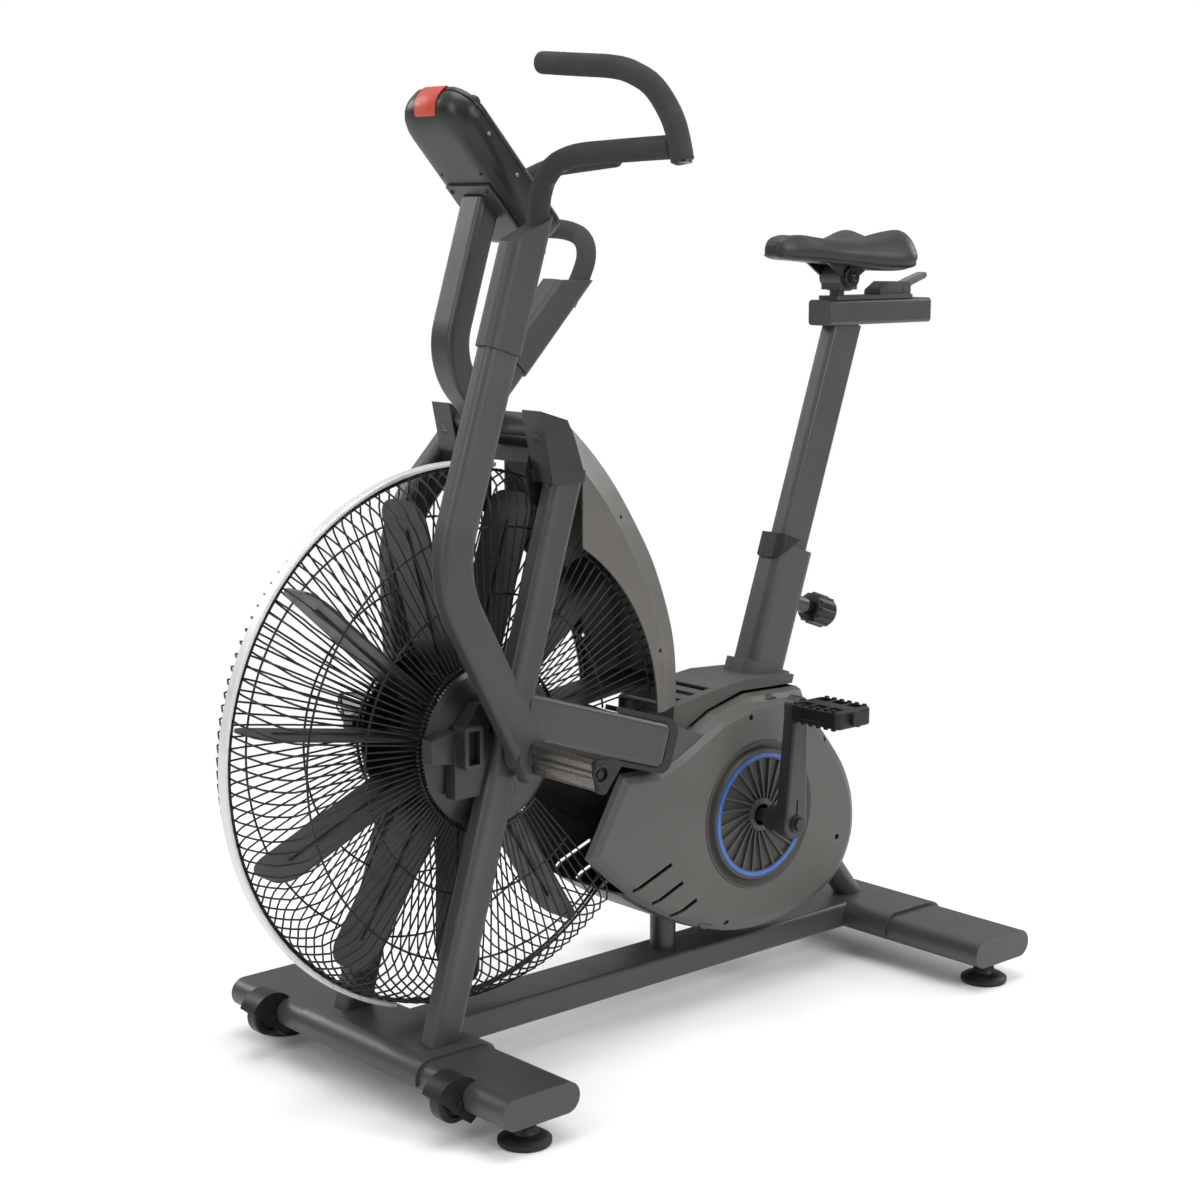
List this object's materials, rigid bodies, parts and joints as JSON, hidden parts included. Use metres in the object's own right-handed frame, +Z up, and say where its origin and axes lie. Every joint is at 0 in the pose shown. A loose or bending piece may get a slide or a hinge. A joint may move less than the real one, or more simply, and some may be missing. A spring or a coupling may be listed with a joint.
{
  "type": "air bike",
  "caption": "Upright air bike with a caged fan wheel, two swinging push arms, belt driven cranks and an adjustable saddle.",
  "frame": {"origin": "centre of the footprint, on the floor", "axes": "+Z up, +X towards the rear of the bike, +Y towards the right hand of a rider facing the fan"},
  "size_m": [1.303, 0.8098, 1.3378],
  "materials": {
    "front_stabiliser": "satin powder coat",
    "rear_stabiliser": "satin powder coat",
    "base_tube": "satin powder coat",
    "front_posts": "satin powder coat",
    "post_caps": "satin",
    "bridge_shroud": "satin",
    "console_mast": "satin powder coat",
    "side_stays": "satin powder coat",
    "inner_frame": "satin powder coat",
    "frame_struts": "satin powder coat",
    "seat_tube": "satin powder coat",
    "seat_tube_cap": "satin",
    "housing_left": "fine grained satin",
    "housing_right": "fine grained satin",
    "housing_top": "satin",
    "stay_liners": "satin",
    "disc_covers": "satin",
    "accent_rings": "semi gloss",
    "fender": "fine grained satin",
    "cage_left": "semi gloss",
    "cage_right": "semi gloss",
    "cage_ring": "brushed",
    "hub_covers": "satin",
    "fan_axle": "machined",
    "bearings": "machined",
    "fan_hub": "satin",
    "fan_blades": "satin",
    "drive_belt": "ribbed",
    "crank_spindle": "machined",
    "crank_left": "satin",
    "crank_right": "satin",
    "drive_pulley": "satin",
    "pedal_left": "satin",
    "pedal_right": "satin",
    "arm_left": "satin powder coat",
    "arm_right": "satin powder coat",
    "sleeve_left": "satin",
    "sleeve_right": "satin",
    "handle_left": "machined",
    "handle_right": "machined",
    "grip_left": "closed cell foam",
    "grip_right": "closed cell foam",
    "pegs": "satin powder coat",
    "peg_caps": "satin",
    "seat_post": "satin powder coat",
    "slider_rail": "satin powder coat",
    "seat_carriage": "satin powder coat",
    "saddle_bracket": "machined",
    "saddle": "soft grained vinyl",
    "cam_lever": "satin",
    "pin_knob": "satin",
    "console_back": "satin",
    "console_face": "satin",
    "console_screen": "glossy",
    "console_button": "fine grained satin",
    "console_tab": "semi gloss",
    "wheel_left": "satin",
    "wheel_right": "satin",
    "wheel_brackets": "satin",
    "levelling_feet": "ribbed"
  },
  "bodies": {
    "frame": {"front_stabiliser": "front_stabiliser", "rear_stabiliser": "rear_stabiliser", "base_tube": "base_tube", "front_posts": "front_posts", "post_caps": "post_caps", "bridge_shroud": "bridge_shroud", "console_mast": "console_mast", "side_stays": "side_stays", "inner_frame": "inner_frame", "frame_struts": "frame_struts", "seat_tube": "seat_tube", "seat_tube_cap": "seat_tube_cap", "housing_left": "housing_left", "housing_right": "housing_right", "housing_top": "housing_top", "stay_liners": "stay_liners", "disc_covers": "disc_covers", "accent_rings": "accent_rings", "fender": "fender", "cage_left": "cage_left", "cage_right": "cage_right", "cage_ring": "cage_ring", "hub_covers": "hub_covers", "fan_axle": "fan_axle", "bearings": "bearings", "drive_belt": "drive_belt", "pegs": "pegs", "peg_caps": "peg_caps", "console_back": "console_back", "console_face": "console_face", "console_screen": "console_screen", "console_tab": "console_tab", "wheel_brackets": "wheel_brackets"},
    "fan": {"fan_hub": "fan_hub", "fan_blades": "fan_blades"},
    "crankset": {"crank_spindle": "crank_spindle", "crank_left": "crank_left", "crank_right": "crank_right", "drive_pulley": "drive_pulley"},
    "pedal_l": {"pedal_left": "pedal_left"},
    "pedal_r": {"pedal_right": "pedal_right"},
    "arm_l": {"arm_left": "arm_left", "sleeve_left": "sleeve_left", "handle_left": "handle_left", "grip_left": "grip_left"},
    "arm_r": {"arm_right": "arm_right", "sleeve_right": "sleeve_right", "handle_right": "handle_right", "grip_right": "grip_right"},
    "seat_mast": {"seat_post": "seat_post", "slider_rail": "slider_rail"},
    "seat_slider": {"seat_carriage": "seat_carriage"},
    "saddle_unit": {"saddle": "saddle", "saddle_bracket": "saddle_bracket"},
    "lever": {"cam_lever": "cam_lever"},
    "knob": {"pin_knob": "pin_knob"},
    "wheel_l": {"wheel_left": "wheel_left"},
    "wheel_r": {"wheel_right": "wheel_right"},
    "feet": {"levelling_feet": "levelling_feet"},
    "button": {"console_button": "console_button"}
  },
  "joints": [
    {"name": "fan_spin", "type": "hinge", "parent": "frame", "child": "fan", "pos_m": [-0.2835, 0, 0.455], "axis": [0, 1, 0], "continuous": true},
    {"name": "crank_turn", "type": "hinge", "parent": "frame", "child": "crankset", "pos_m": [0.2065, 0, 0.278], "axis": [0, 1, 0], "continuous": true},
    {"name": "pedal_left_spin", "type": "hinge", "parent": "crankset", "child": "pedal_l", "pos_m": [0.2154, -0.215, 0.44777], "axis": [0, 1, 0], "continuous": true},
    {"name": "pedal_right_spin", "type": "hinge", "parent": "crankset", "child": "pedal_r", "pos_m": [0.1976, 0.215, 0.10823], "axis": [0, 1, 0], "continuous": true},
    {"name": "left_arm_swing", "type": "hinge", "parent": "frame", "child": "arm_l", "pos_m": [-0.2735, -0.132, 0.4515], "axis": [0, 1, 0], "range_deg": [0, 26.4]},
    {"name": "right_arm_swing", "type": "hinge", "parent": "frame", "child": "arm_r", "pos_m": [-0.2735, 0.132, 0.4515], "axis": [0, 1, 0], "range_deg": [-26.4, 0]},
    {"name": "seat_height", "type": "slide", "parent": "frame", "child": "seat_mast", "axis": [0.327, 0, 0.945], "range_m": [-0.1, 0.05]},
    {"name": "seat_fore_aft", "type": "slide", "parent": "seat_mast", "child": "seat_slider", "axis": [1, 0, 0], "range_m": [-0.011, 0.035]},
    {"name": "saddle_tilt", "type": "hinge", "parent": "seat_slider", "child": "saddle_unit", "pos_m": [0.4565, 0, 1.051], "axis": [0, 1, 0], "range_deg": [-4, 4]},
    {"name": "cam_lever_turn", "type": "hinge", "parent": "seat_slider", "child": "lever", "pos_m": [0.5895, 0, 1.0305], "axis": [0, 1, 0], "range_deg": [-12, 12]},
    {"name": "pin_pull", "type": "slide", "parent": "frame", "child": "knob", "axis": [0.945, 0, -0.327], "range_m": [0, 0.012]},
    {"name": "wheel_left_roll", "type": "hinge", "parent": "frame", "child": "wheel_l", "pos_m": [-0.4605, -0.205, 0.054], "axis": [0, 1, 0], "continuous": true},
    {"name": "wheel_right_roll", "type": "hinge", "parent": "frame", "child": "wheel_r", "pos_m": [-0.4605, 0.205, 0.054], "axis": [0, 1, 0], "continuous": true},
    {"name": "feet_level", "type": "slide", "parent": "frame", "child": "feet", "axis": [0, 0, 1], "range_m": [-0.004, 0]},
    {"name": "console_press", "type": "slide", "parent": "frame", "child": "button", "axis": [-0.7405, 0, -0.672], "range_m": [0, 0.0015]}
  ],
  "couplings": [
    {"joint": "fan_spin", "follows": "crank_turn", "ratio": 4},
    {"joint": "right_arm_swing", "follows": "left_arm_swing", "ratio": -1}
  ]
}
